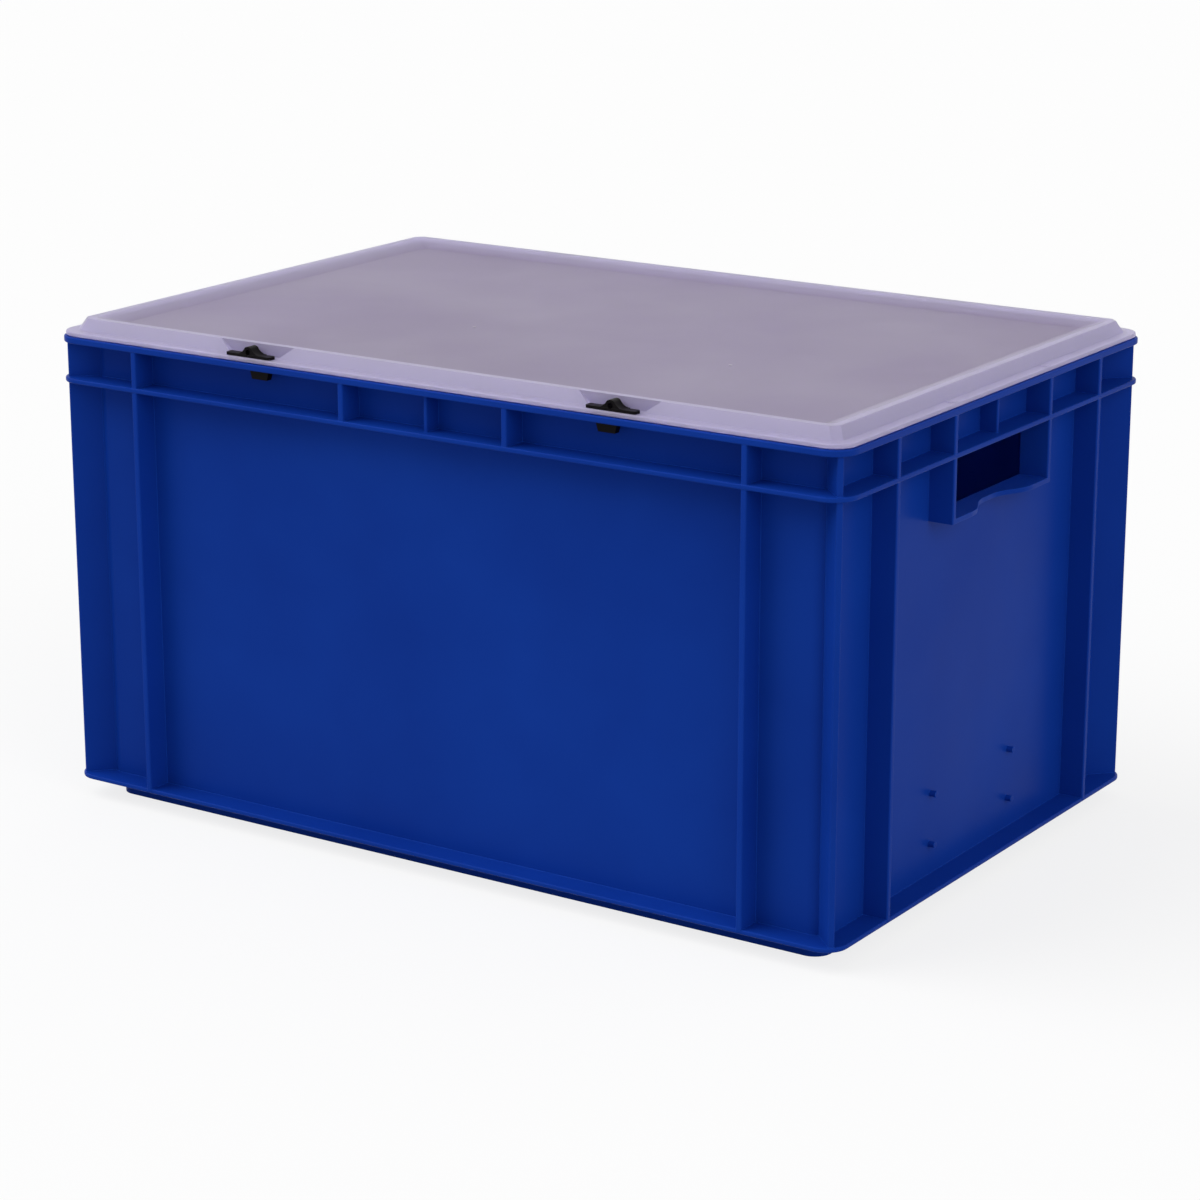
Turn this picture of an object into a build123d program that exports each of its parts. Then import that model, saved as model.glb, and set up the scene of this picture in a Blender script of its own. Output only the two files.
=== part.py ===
"""Stacking tote with a one-piece lid hinged along the back and two sliding latches in front.

Millimetres.  X runs along the long side, Y from front to back, Z up.
The origin is the centre of the underside.
"""
import os
from math import sqrt

from build123d import *

# ---------------------------------------------------------------- tote
LENGTH = 600.0          # rim, along X
WIDTH = 400.0           # rim, along Y
HEIGHT = 320.0          # underside to the top of the rim
RIM_RADIUS = 16.0       # corner of the rim, the belt and the base flange
RIM_THICK = 4.2
BELT_DROP = 27.8        # from the rim's top to the top of the belt, the second ring
BELT_THICK = 3.2
BASE_LOW = 13.1         # underside of the base flange
BASE_THICK = 3.0
BASE_INSET = 0.8        # the base flange stands this far inside the rim
WALL_INSET = 17.5       # outer face of the wall, in from the rim
WALL = 2.8
WALL_RADIUS = 12.0      # outer corner of the wall
FOOT_INSET = 21.5       # outer face of the foot that drops into the tote below
FLOOR = 3.0
FLOOR_FILLET = 4.0
EDGE_ROUND = 0.9        # rounding of every ring and rib edge
OVER = 1.0              # cutting shapes run this far past the face they cut

RIB = 4.0               # full-depth ribs
RIB_INSET = 0.4         # rib edges stand this far inside the rim
THIN_RIB = 2.6          # the shallow rib in the middle of each channel
THIN_RIB_INSET = 5.2
LONG_RIB_END = 67.5     # ribs of full height on the long sides, in from each end
CHANNEL_RIB_X = 62.5    # ribs between belt and rim on the long sides
SHORT_RIB_END = 66.0    # ribs of full height on the short sides, in from each end
CORNER_RIB_SETBACK = 2.0

# hand hole in each short side, between two ribs and over a scalloped lip
HANDLE_RIB_Y = 63.5
HAND_HOLE = 37.7        # height of the hole, from the lip up to the belt
LIP_THICK = 3.0
LIP_FULL_FROM = 41.0    # the lip has its full depth from here outwards
LIP_SCALLOP_TO = 5.0    # and its least depth up to here
LIP_SCALLOP_DEPTH = 10.5

# four round studs on each short side, for a label holder
STUD_RADIUS = 2.0
STUD_LENGTH = 4.5
STUD_SPACING_Y = 105.0
STUD_SPACING_Z = 33.5
STUD_CENTRE_Z = 53.3

# ---------------------------------------------------------------- lid
LID_GAP = 0.3           # between the rim and the lid at rest
LID_INSET = 1.5         # lid edge, in from the rim
LID_FLANGE = 3.0
LID_SKIN = 2.5
BORDER_FOOT_INSET = 9.5     # foot of the raised border, in from the rim
BORDER_RISE = 7.7           # crest above the flange
BORDER_SLOPE = 4.0          # run of the outer slope
BORDER_CHAMFER = 5.0        # corner of the border in plan
CREST = 5.0                 # width of the crest
RECESS_DEPTH = 4.5          # crest down to the panel
RECESS_SLOPE = 14.5         # run of the inner slope
RECESS_RADIUS = 6.0
SLOPE_BACK = 0.5            # back of the inner slope's wall, out from the crest's edge
SKIRT_CLEAR = 1.0           # skirt inside the tote wall
SKIRT_THICK = 2.2
SKIRT_DROP = 7.0            # below the rim top
BUTTON_RADIUS = 3.4         # low round buttons on the short-side flanges
BUTTON_HEIGHT = 0.6
BUTTON_X_INSET = 5.4
BUTTON_Y = 62.0

# ---------------------------------------------------------------- latches
LATCH_X = 138.0             # centre of each latch, open
LATCH_LENGTH = 36.0
LATCH_TRAVEL = 8.5          # slides towards the middle to lock
LATCH_CLEAR = 0.1           # above the flange
WING_THICK = 1.8
WING_DEPTH = 6.1
WING_BACK_GAP = 0.3         # to the foot of the border
WING_CORNER = 1.5
HUMP_HALF = 9.5
HUMP_TOP_HALF = 2.6
HUMP_HEIGHT = 6.9           # above the flange
HUMP_CROWN = 1.0            # rise of the rounded top above its shoulders
HUMP_LEAN = 0.6             # sideways run per unit of rise where the flank meets the shoulder
HUMP_FRONT_SETBACK = 0.3
HUMP_DEPTH = 7.3
SEAL_RADIUS = 1.9           # seal hole, front to back
SEAL_HEIGHT = 3.3           # its axis above the flange
NECK_LENGTH = 5.0
NECK_DEPTH = 4.6
CATCH_LENGTH = 16.0         # the catch under the rim, along X
CATCH_DROP = 6.7            # height of the catch
CATCH_TAPER = 2.0
CATCH_CLEAR = 0.3           # between the catch and the rim above it
NECK_FRONT_INSET = 7.5      # neck's front face, in from the rim
BARB = 0.6                  # barbs under the lid that keep the latch on it
BARB_HEIGHT = 1.4
BARB_GAP = 0.1              # between a barb and what it holds on to
SLOT_CLEAR = 0.35
RIM_SLOT_FRONT_CLEAR = 1.0
RIM_SLOT_BACK_CLEAR = 1.0
POCKET_CLEAR = 1.0          # pocket in the border, past the hump at the end of its travel
POCKET_END_SLOPE = 11.0     # run of the pocket's sloping ends
POCKET_BACK_CUT = 0.2       # into the crest

# ---------------------------------------------------------------- hinges
HINGE_X = 150.0
KNUCKLE_RADIUS = 2.4
PIN_RADIUS = 1.0
PIN_RUN_CLEAR = 0.06        # pin in the base knuckle, where it turns
PIN_PRESS_CLEAR = 0.02      # pin in the leaf knuckles, where it is held
KNUCKLE_LIFT = 0.1          # knuckles above the lid flange
BASE_KNUCKLE = 12.0
KNUCKLE_GAP = 0.3
LEAF_HALF = 20.0
LEAF_KNUCKLE = 11.7
LEAF_THICK = 2.0
LEAF_FRONT_GAP = 0.5        # to the foot of the border
PEG_RADIUS = 1.6
PEG_CLEAR = 0.05
PEG_X = 15.0
BASE_HALF = 10.0
BASE_PLATE = 2.3
BASE_FRONT_GAP = 1.2        # to the foot of the border
NOTCH_CLEAR = 0.5
PLUG_HALF = 7.0
PLUG_DEPTH = 4.6
PLUG_CLEAR = 0.2
PLUG_FRONT = 1.0            # plug's front face behind the plate's
PLUG_DROP = 8.0
PLUG_BARB = 0.8

# ---------------------------------------------------------------- derived
RIM_LOW = HEIGHT - RIM_THICK
BELT_TOP = HEIGHT - BELT_DROP
BELT_LOW = BELT_TOP - BELT_THICK
BASE_TOP = BASE_LOW + BASE_THICK
HANDLE_LOW = BELT_LOW - HAND_HOLE
LONG_RIB_X = LENGTH / 2 - LONG_RIB_END
SHORT_RIB_Y = WIDTH / 2 - SHORT_RIB_END
WALL_LENGTH = LENGTH - 2 * WALL_INSET
WALL_WIDTH = WIDTH - 2 * WALL_INSET
FOOT_LENGTH = LENGTH - 2 * FOOT_INSET
FOOT_WIDTH = WIDTH - 2 * FOOT_INSET

LID_LOW = HEIGHT + LID_GAP
LID_TOP = LID_LOW + LID_FLANGE
CREST_TOP = LID_TOP + BORDER_RISE
PANEL_TOP = CREST_TOP - RECESS_DEPTH
CREST_INSET = BORDER_FOOT_INSET + BORDER_SLOPE
RECESS_INSET = CREST_INSET + CREST
PANEL_INSET = RECESS_INSET + RECESS_SLOPE

BORDER_FOOT_Y = WIDTH / 2 - BORDER_FOOT_INSET
CREST_Y = WIDTH / 2 - CREST_INSET
POCKET_BACK_Y = CREST_Y - POCKET_BACK_CUT
POCKET_FLOOR_HALF = HUMP_HALF + LATCH_TRAVEL + POCKET_CLEAR
POCKET_TOP_HALF = POCKET_FLOOR_HALF + POCKET_END_SLOPE
WING_BACK_Y = BORDER_FOOT_Y + WING_BACK_GAP
WING_FRONT_Y = WING_BACK_Y + WING_DEPTH
HUMP_FRONT_Y = WING_FRONT_Y - HUMP_FRONT_SETBACK
HUMP_BACK_Y = HUMP_FRONT_Y - HUMP_DEPTH
NECK_FRONT_Y = WIDTH / 2 - NECK_FRONT_INSET
NECK_BACK_Y = NECK_FRONT_Y - NECK_DEPTH
LATCH_LOW = LID_TOP + LATCH_CLEAR
CATCH_TOP = RIM_LOW - CATCH_CLEAR
CATCH_REACH = CATCH_LENGTH - NECK_LENGTH / 2    # from the latch's centre to the catch's tip
SLOT_REACH = max(CATCH_REACH, LATCH_TRAVEL + NECK_LENGTH / 2) + SLOT_CLEAR

HINGE_Y = WIDTH / 2 - KNUCKLE_RADIUS
HINGE_Z = LID_TOP + KNUCKLE_LIFT + KNUCKLE_RADIUS
LEAF_FRONT_Y = BORDER_FOOT_Y + LEAF_FRONT_GAP
LEAF_BACK_Y = HINGE_Y - KNUCKLE_RADIUS - KNUCKLE_GAP
BASE_FRONT_Y = BORDER_FOOT_Y + BASE_FRONT_GAP
BASE_BACK_Y = WIDTH / 2 - RIB_INSET
PLUG_FRONT_Y = BASE_FRONT_Y + PLUG_FRONT
PEG_Y = LEAF_FRONT_Y + PEG_RADIUS + PEG_CLEAR
PIN_HALF = BASE_KNUCKLE / 2 + LEAF_KNUCKLE

CORNERS = [(sx, sy) for sx in (-1, 1) for sy in (-1, 1)]


def slab(length, width, radius, low, high):
    """Solid plate with rounded corners between two heights."""
    with BuildPart() as plate:
        with BuildSketch(Plane.XY.offset(low)):
            RectangleRounded(length, width, radius)
        extrude(amount=high - low)
    return plate.part


def ring(inset, low, high):
    """Plate of a ring round the tote, its outer edges rounded."""
    with BuildPart() as plate:
        with BuildSketch(Plane.XY.offset(low)):
            RectangleRounded(LENGTH - 2 * inset, WIDTH - 2 * inset, RIM_RADIUS - inset)
        extrude(amount=high - low)
        fillet(plate.edges().filter_by(Plane.XY), EDGE_ROUND)
    return plate.part


def rib(thick, reach, low, high):
    """Upright plate, thick along X, from y = 0 out to y = reach, its outer edge rounded."""
    with BuildPart() as plate:
        with BuildSketch(Plane.XY.offset(low)):
            Rectangle(thick, reach, align=(Align.CENTER, Align.MIN))
        extrude(amount=high - low)
        fillet(plate.edges().filter_by(Axis.Z).group_by(Axis.Y)[-1], EDGE_ROUND)
    return plate.part


def block(x_pair, y_pair, z_pair):
    """Rectangular block between two corners."""
    with BuildPart() as solid:
        with BuildSketch(Plane.XY.offset(min(z_pair))):
            with Locations((min(x_pair), min(y_pair))):
                Rectangle(abs(x_pair[1] - x_pair[0]), abs(y_pair[1] - y_pair[0]),
                          align=(Align.MIN, Align.MIN))
        extrude(amount=abs(z_pair[1] - z_pair[0]))
    return solid.part


def cavity():
    """Inside of the tote: the upper walls, and the narrower foot with its filleted floor."""
    inner_length = WALL_LENGTH - 2 * WALL
    inner_width = WALL_WIDTH - 2 * WALL
    foot_length = FOOT_LENGTH - 2 * WALL
    foot_width = FOOT_WIDTH - 2 * WALL
    with BuildPart() as hollow:
        with BuildSketch(Plane.XY.offset(FLOOR)):
            RectangleRounded(foot_length, foot_width, WALL_RADIUS - WALL)
        extrude(amount=BASE_TOP)
        fillet(hollow.faces().sort_by(Axis.Z)[0].edges(), FLOOR_FILLET)
        with BuildSketch(Plane.XY.offset(BASE_TOP)):
            RectangleRounded(inner_length, inner_width, WALL_RADIUS - WALL)
        extrude(amount=HEIGHT)
    return hollow.part


def lip():
    """Scalloped lip under the hand hole on the +X side."""
    root = LENGTH / 2 - WALL_INSET - WALL
    full = LENGTH / 2 - RIB_INSET
    low_point = full - LIP_SCALLOP_DEPTH
    with BuildPart() as shelf:
        with BuildSketch(Plane.XY.offset(HANDLE_LOW - LIP_THICK)):
            with BuildLine():
                Polyline((low_point, 0), (root, 0), (root, HANDLE_RIB_Y), (full, HANDLE_RIB_Y),
                         (full, LIP_FULL_FROM))
                Spline((full, LIP_FULL_FROM), (low_point, LIP_SCALLOP_TO),
                       tangents=((0, -1), (0, -1)))
                Line((low_point, LIP_SCALLOP_TO), (low_point, 0))
            make_face()
            mirror(about=Plane.XZ)
        extrude(amount=LIP_THICK)
    return shelf.part


def studs():
    """Label-holder studs on both short sides."""
    root = LENGTH / 2 - WALL_INSET - WALL / 2
    with BuildPart() as pegs:
        for plane in (Plane.YZ.offset(root), Plane.YZ.offset(-root)):
            outward = 1 if plane.origin.X > 0 else -1
            with BuildSketch(plane):
                with Locations((0, STUD_CENTRE_Z)):
                    with GridLocations(STUD_SPACING_Y, STUD_SPACING_Z, 2, 2):
                        Circle(STUD_RADIUS)
            extrude(amount=outward * (STUD_LENGTH + WALL / 2))
    return pegs.part


def latch_slots(y_pair, low, high):
    """Slots in front, in the rim or in the lid, that the latches reach down through."""
    slots = []
    for side in (-1, 1):
        outer = side * (LATCH_X + NECK_LENGTH / 2 + SLOT_CLEAR)
        inner = side * (LATCH_X - SLOT_REACH)
        slots.append(block((outer, inner), y_pair, (low - OVER, high + OVER)))
    return slots


def plug_slots():
    """Slots in the back of the rim that the hinge bases clip into."""
    y_pair = (PLUG_FRONT_Y - PLUG_CLEAR, PLUG_FRONT_Y + PLUG_DEPTH + PLUG_CLEAR)
    z_pair = (RIM_LOW - OVER, HEIGHT + OVER)
    half = PLUG_HALF + PLUG_CLEAR
    return [block((side * HINGE_X - half, side * HINGE_X + half), y_pair, z_pair)
            for side in (-1, 1)]


def make_tote():
    """Walls, foot, three rings, ribs, hand holes and studs in one moulding."""
    root_x = LENGTH / 2 - WALL_INSET - WALL / 2
    root_y = WIDTH / 2 - WALL_INSET - WALL / 2
    full_x = LENGTH / 2 - RIB_INSET - root_x
    thin_x = LENGTH / 2 - THIN_RIB_INSET - root_x
    in_base = BASE_LOW + BASE_THICK / 2
    in_rim = RIM_LOW + RIM_THICK / 2
    in_belt = BELT_LOW + BELT_THICK / 2
    lip_low = HANDLE_LOW - LIP_THICK

    foot = slab(FOOT_LENGTH, FOOT_WIDTH, WALL_RADIUS, 0, BASE_TOP)
    walls = slab(WALL_LENGTH, WALL_WIDTH, WALL_RADIUS, BASE_LOW, in_rim)
    rings = [ring(0, RIM_LOW, HEIGHT), ring(0, BELT_LOW, BELT_TOP),
             ring(BASE_INSET, BASE_LOW, BASE_TOP)]
    tall_rib = rib(RIB, full_x, in_base, in_rim)
    channel_rib = rib(RIB, full_x, in_belt, in_rim)
    thin_rib = rib(THIN_RIB, thin_x, in_belt, in_rim)
    handle_rib = rib(RIB, full_x, lip_low, in_rim)
    wall_centre = WALL_INSET + WALL_RADIUS
    rib_start = WALL_RADIUS - WALL / 2
    rim_reach = (wall_centre - RIM_RADIUS) * sqrt(2) + RIM_RADIUS
    corner_rib = rib(RIB, rim_reach - CORNER_RIB_SETBACK - rib_start, in_base, in_rim)
    hand_lip = lip()
    pegs = studs()
    inside = cavity()
    latch_y = (-NECK_FRONT_Y - RIM_SLOT_FRONT_CLEAR, -NECK_BACK_Y + RIM_SLOT_BACK_CLEAR)
    slots = latch_slots(latch_y, RIM_LOW, HEIGHT) + plug_slots()
    hand_hole = block((LENGTH / 2 - WALL_INSET - WALL - OVER, LENGTH / 2),
                      (RIB / 2 - HANDLE_RIB_Y, HANDLE_RIB_Y - RIB / 2), (HANDLE_LOW, BELT_LOW))

    with BuildPart() as tote:
        add(foot)
        add(walls)
        add(rings)
        for turn, root in ((0, root_y), (180, root_y), (90, root_x), (270, root_x)):
            long_side = turn in (0, 180)
            tall_at = LONG_RIB_X if long_side else SHORT_RIB_Y
            part_at = CHANNEL_RIB_X if long_side else HANDLE_RIB_Y
            part_rib = channel_rib if long_side else handle_rib
            face = Plane.XY.rotated((0, 0, turn))
            for across, plate in ((-tall_at, tall_rib), (tall_at, tall_rib), (-part_at, part_rib),
                                  (part_at, part_rib), (0, thin_rib)):
                with Locations(face * Location((across, root, 0))):
                    add(plate)
        for sx, sy in CORNERS:
            centre = (sx * (LENGTH / 2 - wall_centre), sy * (WIDTH / 2 - wall_centre), 0)
            turn = -45 * sx * sy + (0 if sy > 0 else 180)
            with Locations(Location(centre, (0, 0, turn)) * Location((0, rib_start, 0))):
                add(corner_rib)
        for turn in (0, 180):
            with Locations(Location((0, 0, 0), (0, 0, turn))):
                add(hand_lip)
        add(pegs)
        add(inside, mode=Mode.SUBTRACT)
        for turn in (0, 180):
            with Locations(Location((0, 0, 0), (0, 0, turn))):
                add(hand_hole, mode=Mode.SUBTRACT)
        add(slots, mode=Mode.SUBTRACT)
    return tote


def frustum(low, low_inset, high, high_inset, chamfer_by=0.0, radius=0.0):
    """Tapered block between two heights, each side set in from the rim by an amount."""
    with BuildPart() as body:
        for height, inset in ((low, low_inset), (high, high_inset)):
            with BuildSketch(Plane.XY.offset(height)) as outline:
                Rectangle(LENGTH - 2 * inset, WIDTH - 2 * inset)
                if chamfer_by:
                    chamfer(outline.vertices(), chamfer_by)
                if radius:
                    fillet(outline.vertices(), radius)
        loft()
    return body.part


def pocket(side):
    """Room behind one latch, cut into the border, with sloping ends."""
    with BuildPart() as room:
        with BuildSketch(Plane.XZ.offset(POCKET_BACK_Y)):
            with BuildLine():
                over = CREST_TOP + OVER
                wide = POCKET_FLOOR_HALF + POCKET_END_SLOPE / BORDER_RISE * (over - LID_TOP)
                Polyline((-POCKET_FLOOR_HALF, LID_TOP), (POCKET_FLOOR_HALF, LID_TOP), (wide, over),
                         (-wide, over), close=True)
            make_face()
        extrude(amount=WING_FRONT_Y - POCKET_BACK_Y)
    return room.part.moved(Location((side * LATCH_X, 0, 0)))


def border_void():
    """Space under the raised border and the panel, less the walls round the latch pockets."""
    skin_lift = LID_LOW + LID_FLANGE - LID_SKIN
    run_per_rise = BORDER_SLOPE / BORDER_RISE
    foot_inset = BORDER_FOOT_INSET + LID_SKIN
    top = CREST_TOP - LID_SKIN
    outer_inset = foot_inset + run_per_rise * (top - skin_lift)
    void = frustum(LID_LOW - OVER, foot_inset, top, outer_inset)
    kept = frustum(PANEL_TOP - LID_SKIN, PANEL_INSET, top, RECESS_INSET - SLOPE_BACK)
    half = POCKET_TOP_HALF + LID_SKIN
    back_y = (-BORDER_FOOT_Y - OVER, -POCKET_BACK_Y + LID_SKIN)
    backing = [block((side * LATCH_X - half, side * LATCH_X + half), back_y,
                     (LID_LOW - 2 * OVER, CREST_TOP)) for side in (-1, 1)]
    with BuildPart() as space:
        add(void)
        add(kept, mode=Mode.SUBTRACT)
        add(backing, mode=Mode.SUBTRACT)
    return space.part


def make_lid():
    """Flange, raised border, sunken panel and locating skirt in one moulding."""
    flange_size = (LENGTH - 2 * LID_INSET, WIDTH - 2 * LID_INSET, RIM_RADIUS - LID_INSET)
    skirt_inset = WALL_INSET + WALL + SKIRT_CLEAR
    skirt_radius = WALL_RADIUS - WALL
    skirt_low = HEIGHT - SKIRT_DROP
    skirt_top = CREST_TOP - LID_SKIN - EDGE_ROUND
    root_inset = BORDER_FOOT_INSET - OVER * BORDER_SLOPE / BORDER_RISE
    border = frustum(LID_TOP - OVER, root_inset, CREST_TOP, CREST_INSET, chamfer_by=BORDER_CHAMFER)
    mouth_inset = RECESS_INSET - OVER * RECESS_SLOPE / RECESS_DEPTH
    recess = frustum(PANEL_TOP, PANEL_INSET, CREST_TOP + OVER, mouth_inset, radius=RECESS_RADIUS)
    void = border_void()
    skirt_outer = slab(LENGTH - 2 * skirt_inset, WIDTH - 2 * skirt_inset, skirt_radius,
                       skirt_low, skirt_top)
    inner_inset = skirt_inset + SKIRT_THICK
    skirt_inner = slab(LENGTH - 2 * inner_inset, WIDTH - 2 * inner_inset,
                       skirt_radius - SKIRT_THICK, skirt_low - OVER, skirt_top + OVER)
    with BuildPart() as skirt:
        add(skirt_outer)
        add(skirt_inner, mode=Mode.SUBTRACT)

    slots = latch_slots((-NECK_FRONT_Y - SLOT_CLEAR, -NECK_BACK_Y + SLOT_CLEAR), LID_LOW, LID_TOP)
    notch_half = BASE_HALF + NOTCH_CLEAR
    for side in (-1, 1):
        slots.append(block((side * HINGE_X - notch_half, side * HINGE_X + notch_half),
                           (BASE_FRONT_Y - NOTCH_CLEAR, WIDTH / 2), (LID_LOW - OVER, LID_TOP + OVER)))
    pockets = [pocket(side) for side in (-1, 1)]

    with BuildPart() as lid:
        with BuildSketch(Plane.XY.offset(LID_LOW)):
            RectangleRounded(*flange_size)
        extrude(amount=LID_FLANGE)
        fillet(lid.edges().filter_by(Plane.XY), EDGE_ROUND)
        add(border)
        add(recess, mode=Mode.SUBTRACT)
        add(void, mode=Mode.SUBTRACT)
        add(skirt.part)
        add(pockets, mode=Mode.SUBTRACT)
        add(slots, mode=Mode.SUBTRACT)
        with BuildSketch(Plane.XY.offset(LID_LOW)):
            for side in (-1, 1):
                with Locations((side * HINGE_X - PEG_X, PEG_Y), (side * HINGE_X + PEG_X, PEG_Y)):
                    Circle(PEG_RADIUS + PEG_CLEAR)
        extrude(amount=LID_FLANGE, mode=Mode.SUBTRACT)
        with BuildSketch(Plane.XY.offset(LID_TOP)):
            with GridLocations(LENGTH - 2 * BUTTON_X_INSET, 2 * BUTTON_Y, 2, 2):
                Circle(BUTTON_RADIUS)
        extrude(amount=BUTTON_HEIGHT)
    return lid


def latch_body():
    """Right-hand latch: wings, hump with a seal hole, neck and catch, centred on x = 0."""
    wing_top = LATCH_LOW + WING_THICK
    hump_top = LID_TOP + HUMP_HEIGHT
    shoulder = hump_top - HUMP_CROWN
    catch_low = CATCH_TOP - CATCH_DROP
    with BuildPart() as body:
        with BuildSketch(Plane.XY.offset(LATCH_LOW)):
            with Locations((0, -(WING_FRONT_Y + WING_BACK_Y) / 2)):
                RectangleRounded(LATCH_LENGTH, WING_DEPTH, WING_CORNER)
        extrude(amount=WING_THICK)
        with BuildSketch(Plane.XZ.offset(HUMP_BACK_Y)):
            with BuildLine():
                Polyline((HUMP_HALF, wing_top), (HUMP_HALF, LATCH_LOW), (-HUMP_HALF, LATCH_LOW),
                         (-HUMP_HALF, wing_top))
                Spline((-HUMP_HALF, wing_top), (-HUMP_TOP_HALF, shoulder),
                       tangents=((1, 0), (HUMP_LEAN, 1)))
                ThreePointArc((-HUMP_TOP_HALF, shoulder), (0, hump_top), (HUMP_TOP_HALF, shoulder))
                Spline((HUMP_TOP_HALF, shoulder), (HUMP_HALF, wing_top),
                       tangents=((HUMP_LEAN, -1), (1, 0)))
            make_face()
        extrude(amount=HUMP_DEPTH)
        with BuildSketch(Plane.XZ.offset(NECK_BACK_Y)):
            with BuildLine():
                Polyline((NECK_LENGTH / 2, LATCH_LOW), (-NECK_LENGTH / 2, LATCH_LOW),
                         (-NECK_LENGTH / 2, CATCH_TOP), (-CATCH_REACH, CATCH_TOP),
                         (-CATCH_REACH + CATCH_TAPER, catch_low),
                         (NECK_LENGTH / 2 - CATCH_TAPER, catch_low), (NECK_LENGTH / 2, CATCH_TOP),
                         close=True)
            make_face()
        extrude(amount=NECK_DEPTH)
        with BuildSketch(Plane.XY.offset(LID_LOW - BARB_GAP)):
            with Locations((0, -(NECK_FRONT_Y + NECK_BACK_Y) / 2)):
                Rectangle(NECK_LENGTH, NECK_DEPTH + 2 * BARB)
        extrude(amount=-BARB_HEIGHT)
        with BuildSketch(Plane.XZ.offset(HUMP_BACK_Y)):
            with Locations((0, LID_TOP + SEAL_HEIGHT)):
                Circle(SEAL_RADIUS)
        extrude(amount=WING_FRONT_Y - HUMP_BACK_Y, mode=Mode.SUBTRACT)
    return body.part


def make_latch(side):
    """Latch on one side: the left one is the right one mirrored."""
    blank = latch_body()
    with BuildPart() as latch:
        if side > 0:
            with Locations((LATCH_X, 0, 0)):
                add(blank)
        else:
            with Locations((-LATCH_X, 0, 0)):
                add(blank.mirror(Plane.YZ))
    return latch


def make_hinge_base(side):
    """Part of the hinge that clips into the rim: plate, plug with barbs and one knuckle."""
    plug_y = (PLUG_FRONT_Y, PLUG_FRONT_Y + PLUG_DEPTH)
    plate = block((-BASE_HALF, BASE_HALF), (BASE_FRONT_Y, BASE_BACK_Y),
                  (HEIGHT, HEIGHT + BASE_PLATE))
    plug = block((-PLUG_HALF, PLUG_HALF), plug_y, (HEIGHT - PLUG_DROP, HEIGHT))
    barbs = block((-PLUG_HALF, PLUG_HALF), (plug_y[0] - PLUG_BARB, plug_y[1] + PLUG_BARB),
                  (HEIGHT - PLUG_DROP, RIM_LOW - BARB_GAP))
    web = block((-BASE_KNUCKLE / 2, BASE_KNUCKLE / 2), (HINGE_Y - KNUCKLE_RADIUS, BASE_BACK_Y),
                (HEIGHT, HINGE_Z))
    with BuildPart() as base:
        with Locations((side * HINGE_X, 0, 0)):
            add([plate, plug, barbs, web])
        with BuildSketch(Plane.YZ.offset(side * HINGE_X - BASE_KNUCKLE / 2)):
            with Locations((HINGE_Y, HINGE_Z)):
                Circle(KNUCKLE_RADIUS)
        extrude(amount=BASE_KNUCKLE)
        with BuildSketch(Plane.YZ.offset(side * HINGE_X - BASE_KNUCKLE / 2)):
            with Locations((HINGE_Y, HINGE_Z)):
                Circle(PIN_RADIUS + PIN_RUN_CLEAR)
        extrude(amount=BASE_KNUCKLE, mode=Mode.SUBTRACT)
    return base


def make_hinge_leaf(side):
    """Part of the hinge fixed to the lid: strip, two pegs and two knuckles."""
    near = BASE_KNUCKLE / 2 + KNUCKLE_GAP
    far = near + LEAF_KNUCKLE
    strip = block((-LEAF_HALF, LEAF_HALF), (LEAF_FRONT_Y, LEAF_BACK_Y),
                  (LID_TOP, LID_TOP + LEAF_THICK))
    arms = [block((end * near, end * far), (LEAF_FRONT_Y, HINGE_Y), (LID_TOP, HINGE_Z))
            for end in (-1, 1)]
    with BuildPart() as leaf:
        with Locations((side * HINGE_X, 0, 0)):
            add(strip)
            add(arms)
        for end_start in (-far, near):
            start = side * HINGE_X + end_start
            with BuildSketch(Plane.YZ.offset(start)):
                with Locations((HINGE_Y, HINGE_Z)):
                    Circle(KNUCKLE_RADIUS)
            extrude(amount=LEAF_KNUCKLE)
        with BuildSketch(Plane.YZ.offset(side * HINGE_X - LEAF_HALF)):
            with Locations((HINGE_Y, HINGE_Z)):
                Circle(PIN_RADIUS + PIN_PRESS_CLEAR)
        extrude(amount=2 * LEAF_HALF, mode=Mode.SUBTRACT)
        with BuildSketch(Plane.XY.offset(LID_LOW)):
            with Locations((side * HINGE_X - PEG_X, PEG_Y), (side * HINGE_X + PEG_X, PEG_Y)):
                Circle(PEG_RADIUS)
        extrude(amount=LID_FLANGE + LEAF_THICK / 2)
    return leaf


def make_hinge_pin(side):
    """Steel pin, held in the leaf knuckles and turning in the base knuckle."""
    with BuildPart() as pin:
        with BuildSketch(Plane.YZ.offset(side * HINGE_X - PIN_HALF)):
            with Locations((HINGE_Y, HINGE_Z)):
                Circle(PIN_RADIUS)
        extrude(amount=2 * PIN_HALF)
        chamfer(pin.edges().filter_by(GeomType.CIRCLE), KNUCKLE_GAP)
    return pin


os.makedirs("parts", exist_ok=True)

tote = make_tote()
tote.part.label = "tote"
export_step(tote.part, "parts/tote.step")

lid = make_lid()
lid.part.label = "lid"
export_step(lid.part, "parts/lid.step")

for side, word in ((-1, "left"), (1, "right")):
    for stem, make in (("latch", make_latch), ("hinge_base", make_hinge_base),
                       ("hinge_leaf", make_hinge_leaf), ("hinge_pin", make_hinge_pin)):
        piece = make(side)
        piece.part.label = f"{stem}_{word}"
        export_step(piece.part, f"parts/{stem}_{word}.step")
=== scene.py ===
"""Looks for a stacking tote with a hinged lid: plastics, small moulding marks and a studio."""

import math
from collections import namedtuple

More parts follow.
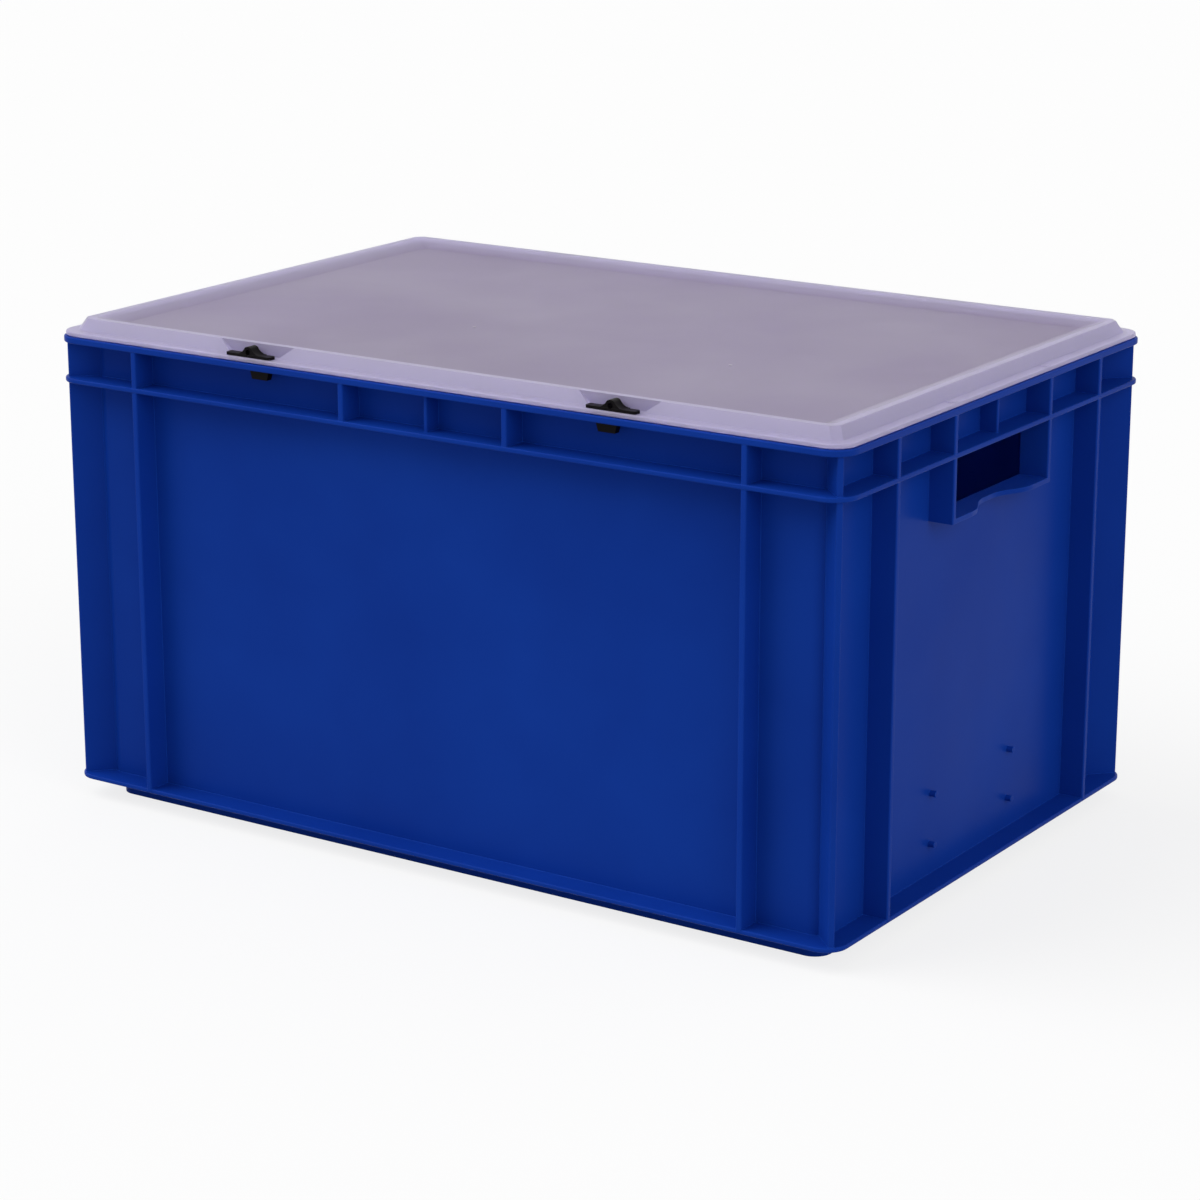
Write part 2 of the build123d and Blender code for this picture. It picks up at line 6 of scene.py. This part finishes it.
import bmesh
import bpy
from bpy.props import FloatProperty, FloatVectorProperty, PointerProperty
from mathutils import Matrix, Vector


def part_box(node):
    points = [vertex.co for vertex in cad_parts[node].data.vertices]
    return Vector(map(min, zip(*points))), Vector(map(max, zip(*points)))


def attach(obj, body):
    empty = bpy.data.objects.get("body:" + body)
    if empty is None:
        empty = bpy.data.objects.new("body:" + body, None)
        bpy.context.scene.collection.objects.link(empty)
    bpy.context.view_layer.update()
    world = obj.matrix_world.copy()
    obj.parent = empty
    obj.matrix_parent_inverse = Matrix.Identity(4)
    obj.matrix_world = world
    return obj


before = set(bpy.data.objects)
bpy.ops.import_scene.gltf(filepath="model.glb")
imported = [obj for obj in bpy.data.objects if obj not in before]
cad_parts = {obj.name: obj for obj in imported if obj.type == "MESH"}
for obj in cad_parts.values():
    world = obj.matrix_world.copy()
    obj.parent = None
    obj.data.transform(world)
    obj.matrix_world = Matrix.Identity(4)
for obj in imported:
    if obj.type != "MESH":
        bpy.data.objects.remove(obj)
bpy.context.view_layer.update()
LID_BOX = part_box("lid")

PANEL_DROP = 0.0045         # crest of the lid's border down to its panel
CREST_INSET = 0.016         # lid's edge in to the inner side of the crest
PANEL_INSET = 0.032         # lid's edge in to the panel
GATE_PLACES = {"left": (-0.066, -0.050), "right": (0.137, -0.059)}     # x, y of each mark
GATE_TAPER = 0.9            # top of a gate mark as a share of its foot
GATE_SINK = 0.00005         # foot of a gate mark below the panel's face
FLAT_COSINE = 0.995         # rounded normal against the face's own, where a flat ends
SHARP_COSINE = 0.80         # the same at a sharp edge
KEY_FROM = (-0.75, -0.45, 1.0)          # from the object towards the main light
FILL_FROM = (1.0, -0.3, 0.5)            # from the object towards the light on the right
WHITE = (1.0, 1.0, 1.0, 1.0)

# Spark-eroded skin of a moulding: grains a metre, then heights in metres.
Skin = namedtuple("Skin", "grain_scale grain_depth ripple_depth")
TOTE_SKIN = Skin(1500.0, 0.00003, 0.0006)
LID_SKIN = Skin(1200.0, 0.00004, 0.0009)
BLACK_SKIN = Skin(2600.0, 0.00003, 0.0002)

bl_info = {
    "name": "Hinged Lid Tote",
    "version": (1, 0, 0),
    "blender": (4, 5, 0),
    "location": "View3D > Sidebar > Tote",
    "description": "Moulded plastics, moulding marks and a studio for a tote with a hinged lid",
    "category": "Material",
}


def colour_property(name, description, default):
    """Colour setting of a finish, in linear values."""
    return FloatVectorProperty(name=name, description=description, subtype="COLOR", size=3,
                               min=0.0, max=1.0, default=default)


def share_property(name, description, default):
    """Setting from 0 to 1."""
    return FloatProperty(name=name, description=description, subtype="FACTOR",
                         min=0.0, max=1.0, default=default)


def length_property(name, description, default):
    """Length setting in metres."""
    return FloatProperty(name=name, description=description, subtype="DISTANCE",
                         unit="LENGTH", min=0.0, precision=5, default=default)


def place_property(name, description, default):
    """Point setting in metres."""
    return FloatVectorProperty(name=name, description=description, subtype="TRANSLATION",
                               unit="LENGTH", size=3, precision=4, default=default)


class TotePlasticSettings(bpy.types.PropertyGroup):
    """Blue polypropylene of the tote"""
    blue: colour_property("Blue", "Main colour of the moulding", (0.005, 0.039, 0.32))
    # Pale blue: the melt's own soft clouds, and a painted highlight on thin edges
    cloud_and_edge_light_blue: colour_property("Pale blue", "Colour of thin edges and of soft clouds in the melt",
                               (0.011, 0.085, 0.56))
    roughness: share_property("Roughness", "Roughness of the moulded skin", 0.36)
    specular: share_property("Specular", "Strength of the skin's reflection", 0.03)
    edge_radius: length_property("Edge radius", "Rounding seen on moulded edges", 0.0007)


class LidPlasticSettings(bpy.types.PropertyGroup):
    """Milky, faintly translucent polypropylene of the lid"""
    # Milk: the panel, with a painted shade of the dark hollow seen through it
    milk: colour_property("Milk", "Colour of the panel over the hollow inside",
                          (0.41, 0.335, 0.53))
    cloud: colour_property("Cloud", "Colour of the denser clouds in the panel",
                           (0.465, 0.39, 0.595))
    # Rim milk: painted light on the border over the rim, and a painted highlight on edges
    border_and_edge_light: colour_property("Rim milk", "Colour of the border, which has more plastic under it",
                              (0.72, 0.665, 0.90))
    roughness: share_property("Roughness", "Roughness of the frosted skin", 0.42)
    specular: share_property("Specular", "Strength of the skin's reflection", 0.25)
    see_through: share_property("See-through", "Share of the light that passes the skin", 0.6)
    refraction: FloatProperty(name="Refraction", description="Refractive index of the plastic",
                              min=1.0, default=1.49)
    edge_radius: length_property("Edge radius", "Rounding seen on moulded edges", 0.0004)


class LatchPlasticSettings(bpy.types.PropertyGroup):
    """Black plastic of the sliding latches"""
    black: colour_property("Black", "Main colour of the latches", (0.004, 0.003, 0.004))
    # Grey: faint handling streaks, and a painted highlight on edges
    grey: colour_property("Grey", "Colour of rubbed edges", (0.009, 0.008, 0.009))
    roughness: share_property("Roughness", "Roughness of the latches", 0.4)
    specular: share_property("Specular", "Strength of the skin's reflection", 0.06)
    edge_radius: length_property("Edge radius", "Rounding seen on moulded edges", 0.0003)


class HingeSettings(bpy.types.PropertyGroup):
    """Plastic hinges with steel pins"""
    black: colour_property("Black", "Main colour of the hinge plastic", (0.007, 0.006, 0.007))
    # Grey: faint handling streaks, and a painted highlight on edges
    grey: colour_property("Grey", "Colour of rubbed edges", (0.018, 0.017, 0.018))
    roughness: share_property("Roughness", "Roughness of the hinge plastic", 0.5)
    specular: share_property("Specular", "Strength of the skin's reflection", 0.06)
    edge_radius: length_property("Edge radius", "Rounding seen on moulded edges", 0.0003)
    steel: colour_property("Steel", "Colour of the pins", (0.56, 0.56, 0.57))
    dull_steel: colour_property("Dull steel", "Colour of the drawn streaks", (0.38, 0.38, 0.39))


class GateMarkSettings(bpy.types.PropertyGroup):
    """Two small marks left where the plastic entered the mould of the lid"""
    pale: colour_property("Pale", "Colour of the plastic at the marks", (0.85, 0.80, 0.90))
    radius: length_property("Radius", "Radius of each mark", 0.0013)
    height: length_property("Height", "Height of each mark above the panel", 0.00035)
    bevel: length_property("Bevel", "Width of the soft edge of each mark", 0.0002)


class StudioSettings(bpy.types.PropertyGroup):
    """Floor, light and camera"""
    floor_size: length_property("Floor size", "Length of each side of the floor", 60.0)
    floor_gap: length_property("Floor gap", "Floor below the foot, so they don't share a plane",
                               0.0002)
    floor_grey: share_property("Floor grey", "Brightness of the floor in the light it throws back",
                               0.55)
    shadow: share_property("Shadow", "Share of the floor's white that a shadow takes away", 0.2)
    sky: share_property("Sky", "Strength of the even light from all round", 0.46)
    key: FloatProperty(name="Key", description="Strength of the main light, from the left",
                       min=0.0, default=1.5)
    fill: FloatProperty(name="Fill", description="Strength of the light from the right",
                        min=0.0, default=0.7)
    softness: FloatProperty(name="Softness", description="Apparent size of both lights",
                            subtype="ANGLE", unit="ROTATION", min=0.0, max=math.pi,
                            default=math.radians(50.0))
    lens: FloatProperty(name="Lens", description="Focal length in millimetres on a 36 mm frame",
                        min=1.0, default=102.8)
    camera_place: place_property("Camera", "Place of the camera", (1.231, -1.851, 0.776))
    camera_aim: place_property("Aim", "Point that the camera looks at", (0.0, 0.0, 0.138))


def add_node(tree, kind, inputs=None, **settings):
    """Adds a shader node, sets its options, then fills its inputs with values or links."""
    node = tree.nodes.new(kind)
    for key, value in settings.items():
        setattr(node, key, value)
    for key, value in (inputs or {}).items():
        if isinstance(value, bpy.types.NodeSocket):
            tree.links.new(value, node.inputs[key])
        else:
            node.inputs[key].default_value = value
    return node


def empty_material(name):
    """Material with a Principled shader wired to its output."""
    material = bpy.data.materials.new(name)
    material.use_nodes = True
    tree = material.node_tree
    tree.nodes.clear()
    shader = add_node(tree, "ShaderNodeBsdfPrincipled")
    add_node(tree, "ShaderNodeOutputMaterial", {"Surface": shader.outputs["BSDF"]})
    return material, tree, shader


def noise(tree, scale, detail, roughness=0.5, stretch=(1.0, 1.0, 1.0), distortion=0.0):
    """Noise on object coordinates: its value from 0 to 1."""
    place = add_node(tree, "ShaderNodeTexCoord")
    turn = add_node(tree, "ShaderNodeMapping", {"Vector": place.outputs["Object"],
                                                "Scale": stretch})
    return add_node(tree, "ShaderNodeTexNoise", {
        "Vector": turn.outputs["Vector"], "Scale": scale, "Detail": detail,
        "Roughness": roughness, "Distortion": distortion}).outputs["Fac"]


def spread(tree, value, low, high, to_low=0.0, to_high=1.0):
    """Maps a value from one range to another, held within it."""
    return add_node(tree, "ShaderNodeMapRange", {
        "Value": value, "From Min": low, "From Max": high, "To Min": to_low,
        "To Max": to_high}).outputs["Result"]


def blend(tree, share, first, second):
    """Mixes two colours by a share from 0 to 1, linked from a node."""
    mix = add_node(tree, "ShaderNodeMix", data_type="RGBA")
    tree.links.new(share, mix.inputs[0])
    for socket, colour in ((mix.inputs[6], first), (mix.inputs[7], second)):
        if isinstance(colour, bpy.types.NodeSocket):
            tree.links.new(colour, socket)
        else:
            socket.default_value = (*colour[:3], 1.0)
    return mix.outputs[2]


def join_values(tree, operation, first, second):
    """Joins two values, held between 0 and 1."""
    return add_node(tree, "ShaderNodeMath", {0: first, 1: second}, operation=operation,
                    use_clamp=True).outputs["Value"]


def rounded_normal(tree, radius):
    """Normal that turns softly over every edge, as a moulded radius does."""
    return add_node(tree, "ShaderNodeBevel", {"Radius": radius}, samples=6).outputs["Normal"]


def edge_highlight_share(tree, rounded, most):
    """Share of painted highlight on edges: 0 on flats, up to the most on sharp edges."""
    flat = add_node(tree, "ShaderNodeNewGeometry").outputs["Normal"]
    along = add_node(tree, "ShaderNodeVectorMath", {0: rounded, 1: flat},
                     operation="DOT_PRODUCT").outputs["Value"]
    return spread(tree, along, FLAT_COSINE, SHARP_COSINE, to_high=most)


def moulded_skin(tree, shader, rounded, roughness, skin):
    """Fine spark-eroded grain, soft sink ripple and uneven gloss."""
    grain = noise(tree, skin.grain_scale, detail=2.0)
    ripple = noise(tree, 22.0, detail=1.0)
    gloss = noise(tree, 9.0, detail=3.0, distortion=0.3)
    soft = add_node(tree, "ShaderNodeBump", {"Strength": 0.35, "Distance": skin.ripple_depth,
                                             "Height": ripple, "Normal": rounded})
    fine = add_node(tree, "ShaderNodeBump", {"Strength": 0.5, "Distance": skin.grain_depth,
                                             "Height": grain, "Normal": soft.outputs["Normal"]})
    tree.links.new(fine.outputs["Normal"], shader.inputs["Normal"])
    rough = spread(tree, gloss, 0.3, 0.7, roughness - 0.05, roughness + 0.06)
    tree.links.new(rough, shader.inputs["Roughness"])


def tote_plastic(settings):
    """Satin blue: soft clouds, paler on edges as a painted highlight, fine grain."""
    material, tree, shader = empty_material("blue moulded plastic")
    rounded = rounded_normal(tree, settings.edge_radius)
    cloud = spread(tree, noise(tree, 7.0, detail=3.0, roughness=0.55), 0.35, 0.75, to_high=0.22)
    # The clouds are the melt's own tone; the edge share paints a highlight on edges
    share = join_values(tree, "ADD", cloud, edge_highlight_share(tree, rounded, most=0.75))
    tree.links.new(blend(tree, share, settings.blue, settings.cloud_and_edge_light_blue),
                   shader.inputs["Base Color"])
    shader.inputs["Specular IOR Level"].default_value = settings.specular
    moulded_skin(tree, shader, rounded, settings.roughness, TOTE_SKIN)
    return material


def border_light_share(tree):
    """Share of painted light in the lid's colour: 0 over the hollow inside, where the panel keeps
    a painted shade, 1 over the rim of the tote, for the lid at rest.
    """
    place = add_node(tree, "ShaderNodeTexCoord")
    parts = add_node(tree, "ShaderNodeSeparateXYZ", {"Vector": place.outputs["Object"]})
    shares = []
    for axis in ("X", "Y"):
        out = join_values(tree, "ABSOLUTE", parts.outputs[axis], 0.0)
        edge = getattr(LID_BOX[1], axis.lower())
        shares.append(spread(tree, out, edge - PANEL_INSET, edge - CREST_INSET))
    return join_values(tree, "MAXIMUM", *shares)


def lid_plastic(name, settings, milk, cloud):
    """Milky skin that lets a little light through, with drifting clouds."""
    material, tree, shader = empty_material(name)
    rounded = rounded_normal(tree, settings.edge_radius)
    swirl = noise(tree, 3.5, detail=2.0, roughness=0.45, stretch=(1.0, 0.6, 1.0), distortion=0.3)
    panel = blend(tree, spread(tree, swirl, 0.3, 0.75), milk, cloud)
    # Painted light: border lighter over the rim, panel in a painted shade, edges with a painted
    # highlight
    share = join_values(tree, "ADD", border_light_share(tree), edge_highlight_share(tree, rounded, most=0.6))
    tree.links.new(blend(tree, share, panel, settings.border_and_edge_light), shader.inputs["Base Color"])
    shader.inputs["Transmission Weight"].default_value = settings.see_through
    shader.inputs["IOR"].default_value = settings.refraction
    shader.inputs["Specular IOR Level"].default_value = settings.specular
    moulded_skin(tree, shader, rounded, settings.roughness, LID_SKIN)
    return material


def black_plastic(name, settings):
    """Black satin plastic with a greyer painted highlight on its edges and faint handling streaks.
    """
    material, tree, shader = empty_material(name)
    rounded = rounded_normal(tree, settings.edge_radius)
    rubbed = noise(tree, 120.0, detail=3.0, roughness=0.6, stretch=(0.15, 1.0, 1.0))
    streak = spread(tree, rubbed, 0.5, 0.8, to_high=0.35)
    # The streaks are real tone; the edge share paints a highlight on edges
    share = join_values(tree, "ADD", streak, edge_highlight_share(tree, rounded, most=0.8))
    tree.links.new(blend(tree, share, settings.black, settings.grey), shader.inputs["Base Color"])
    shader.inputs["Specular IOR Level"].default_value = settings.specular
    moulded_skin(tree, shader, rounded, settings.roughness, BLACK_SKIN)
    return material


def drawn_steel(settings):
    """Bright steel wire with fine streaks along its length."""
    material, tree, shader = empty_material("drawn steel")
    streak = noise(tree, 900.0, detail=2.0, roughness=0.6, stretch=(0.03, 1.0, 1.0))
    share = spread(tree, streak, 0.35, 0.7)
    tree.links.new(blend(tree, share, settings.steel, settings.dull_steel),
                   shader.inputs["Base Color"])
    tree.links.new(spread(tree, streak, 0.3, 0.7, 0.2, 0.36), shader.inputs["Roughness"])
    shader.inputs["Metallic"].default_value = 1.0
    bump = add_node(tree, "ShaderNodeBump", {"Strength": 0.2, "Distance": 0.00002,
                                             "Height": streak})
    tree.links.new(bump.outputs["Normal"], shader.inputs["Normal"])
    return material


def finish_node(name, material):
    """Gives a CAD node its material."""
    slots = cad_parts[name].data.materials
    slots.clear()
    slots.append(material)


def add_piece(name, shape, material):
    """Turns a bmesh into an object at the origin, with its material."""
    mesh = bpy.data.meshes.new(name)
    shape.to_mesh(mesh)
    shape.free()
    mesh.materials.append(material)
    piece = bpy.data.objects.new(name, mesh)
    bpy.context.scene.collection.objects.link(piece)
    return piece


class ToteFinish(bpy.types.Operator):
    """Blue plastic on the tote"""
    bl_idname = "tote.tote_finish"
    bl_label = "Finish the tote"

    def execute(self, context):
        finish_node("tote", tote_plastic(context.scene.tote_plastic))
        return {"FINISHED"}


class LidFinish(bpy.types.Operator):
    """Milky plastic on the lid"""
    bl_idname = "tote.lid_finish"
    bl_label = "Finish the lid"

    def execute(self, context):
        settings = context.scene.lid_plastic
        finish_node("lid", lid_plastic("milky moulded plastic", settings, settings.milk,
                                       settings.cloud))
        return {"FINISHED"}


class LatchFinish(bpy.types.Operator):
    """Black plastic on both latches"""
    bl_idname = "tote.latch_finish"
    bl_label = "Finish the latches"

    def execute(self, context):
        plastic = black_plastic("black latch plastic", context.scene.latch_plastic)
        for side in ("left", "right"):
            finish_node(f"latch_{side}", plastic)
        return {"FINISHED"}


class HingeFinish(bpy.types.Operator):
    """Black plastic on the hinge parts and steel on their pins"""
    bl_idname = "tote.hinge_finish"
    bl_label = "Finish the hinges"

    def execute(self, context):
        settings = context.scene.tote_hinges
        plastic = black_plastic("black hinge plastic", settings)
        steel = drawn_steel(settings)
        for side in ("left", "right"):
            finish_node(f"hinge_base_{side}", plastic)
            finish_node(f"hinge_leaf_{side}", plastic)
            finish_node(f"hinge_pin_{side}", steel)
        return {"FINISHED"}


class GateMarks(bpy.types.Operator):
    """Two low round marks on the lid's panel"""
    bl_idname = "tote.gate_marks"
    bl_label = "Add the gate marks"

    def execute(self, context):
        settings = context.scene.gate_marks
        pale = lid_plastic("pale gate plastic", context.scene.lid_plastic, settings.pale,
                           settings.pale)
        panel = LID_BOX[1].z - PANEL_DROP
        for side, (x, y) in GATE_PLACES.items():
            shape = bmesh.new()
            bmesh.ops.create_cone(shape, cap_ends=True, segments=32, radius1=settings.radius,
                                  radius2=settings.radius * GATE_TAPER, depth=settings.height)
            rim = [edge for edge in shape.edges
                   if all(vertex.co.z > 0 for vertex in edge.verts)]
            bmesh.ops.bevel(shape, geom=rim, offset=settings.bevel, affect="EDGES", segments=3,
                            profile=0.5, material=-1)
            bmesh.ops.translate(shape, verts=shape.verts,
                                vec=(x, y, panel + settings.height / 2 - GATE_SINK))
            mark = add_piece(f"gate_mark_{side}", shape, pale)
            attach(mark, "lid")
        return {"FINISHED"}


def seen_share(tree):
    """1 for rays that show the surroundings in the view, in gloss or through clear skin."""
    path = add_node(tree, "ShaderNodeLightPath")
    shown = join_values(tree, "MAXIMUM", path.outputs["Is Camera Ray"],
                        path.outputs["Is Glossy Ray"])
    return join_values(tree, "MAXIMUM", shown, path.outputs["Is Transmission Ray"])


def white_surround(world, sky):
    """White where it is seen, softer where it lights the object."""
    world.use_nodes = True
    tree = world.node_tree
    tree.nodes.clear()
    strength = spread(tree, seen_share(tree), 0.0, 1.0, to_low=sky)
    air = add_node(tree, "ShaderNodeBackground", {"Color": WHITE, "Strength": strength})
    add_node(tree, "ShaderNodeOutputWorld", {"Surface": air.outputs["Background"]})


def pale_floor(grey, shadow):
    """White to the eye, with a faint shadow, and greyer in the light that it throws back."""
    material = bpy.data.materials.new("pale floor")
    material.use_nodes = True
    tree = material.node_tree
    tree.nodes.clear()
    seen = seen_share(tree)
    colour = blend(tree, seen, (grey, grey, grey), (shadow, shadow, shadow))
    paint = add_node(tree, "ShaderNodeBsdfDiffuse", {"Color": colour})
    white = add_node(tree, "ShaderNodeEmission", {
        "Color": WHITE, "Strength": spread(tree, seen, 0.0, 1.0, to_high=1.0 - shadow)})
    both = add_node(tree, "ShaderNodeAddShader", {0: paint.outputs["BSDF"],
                                                  1: white.outputs["Emission"]})
    add_node(tree, "ShaderNodeOutputMaterial", {"Surface": both.outputs["Shader"]})
    return material


def aim_rotation(direction, axis, up):
    """Turn that points an object's axis along a direction."""
    return direction.to_track_quat(axis, up).to_euler()


def add_sun(scene, name, strength, softness, coming_from):
    """Distant lamp that shines from a direction towards the object."""
    lamp = bpy.data.lights.new(name, "SUN")
    lamp.energy = strength
    lamp.angle = softness
    holder = bpy.data.objects.new(name, lamp)
    holder.rotation_euler = aim_rotation(Vector(coming_from), "Z", "Y")
    scene.collection.objects.link(holder)


def add_camera(scene, settings):
    """Camera at its place, turned to its aim."""
    view = bpy.data.cameras.new("camera")
    view.lens = settings.lens
    view.sensor_width = 36.0
    view.clip_end = 200.0
    camera = bpy.data.objects.new("camera", view)
    camera.location = settings.camera_place
    direction = Vector(settings.camera_aim) - Vector(settings.camera_place)
    camera.rotation_euler = aim_rotation(direction, "-Z", "Y")
    scene.collection.objects.link(camera)
    scene.camera = camera


class Studio(bpy.types.Operator):
    """Pale floor, soft light and the camera"""
    bl_idname = "tote.studio"
    bl_label = "Set the stage"

    def execute(self, context):
        scene = context.scene
        settings = scene.tote_studio
        shape = bmesh.new()
        bmesh.ops.create_grid(shape, x_segments=1, y_segments=1, size=settings.floor_size / 2)
        bmesh.ops.translate(shape, verts=shape.verts, vec=(0.0, 0.0, -settings.floor_gap))
        floor = add_piece("floor", shape, pale_floor(settings.floor_grey, settings.shadow))

        scene.world = bpy.data.worlds.new("studio")
        white_surround(scene.world, settings.sky)
        add_sun(scene, "key light", settings.key, settings.softness, KEY_FROM)
        add_sun(scene, "fill light", settings.fill, settings.softness, FILL_FROM)
        add_camera(scene, settings)
        scene.view_settings.view_transform = "Standard"
        return {"FINISHED"}


STEPS = (ToteFinish, LidFinish, LatchFinish, HingeFinish, GateMarks, Studio)
SETTINGS = {"tote_plastic": TotePlasticSettings, "lid_plastic": LidPlasticSettings,
            "latch_plastic": LatchPlasticSettings, "tote_hinges": HingeSettings,
            "gate_marks": GateMarkSettings, "tote_studio": StudioSettings}


class TotePanel(bpy.types.Panel):
    """Buttons for each step"""
    bl_idname = "VIEW3D_PT_tote"
    bl_label = "Hinged Lid Tote"
    bl_space_type = "VIEW_3D"
    bl_region_type = "UI"
    bl_category = "Tote"

    def draw(self, context):
        for step in STEPS:
            self.layout.operator(step.bl_idname)


def register():
    """Registers the settings, the steps and the panel."""
    for name, group in SETTINGS.items():
        bpy.utils.register_class(group)
        setattr(bpy.types.Scene, name, PointerProperty(type=group))
    for item in (*STEPS, TotePanel):
        bpy.utils.register_class(item)


def unregister():
    """Takes them away again."""
    for item in (TotePanel, *reversed(STEPS)):
        bpy.utils.unregister_class(item)
    for name, group in reversed(SETTINGS.items()):
        delattr(bpy.types.Scene, name)
        bpy.utils.unregister_class(group)


def main():
    """Runs every step in order."""
    register()
    bpy.ops.tote.tote_finish()
    bpy.ops.tote.lid_finish()
    bpy.ops.tote.latch_finish()
    bpy.ops.tote.hinge_finish()
    bpy.ops.tote.gate_marks()
    bpy.ops.tote.studio()


if __name__ == "__main__":
    main()
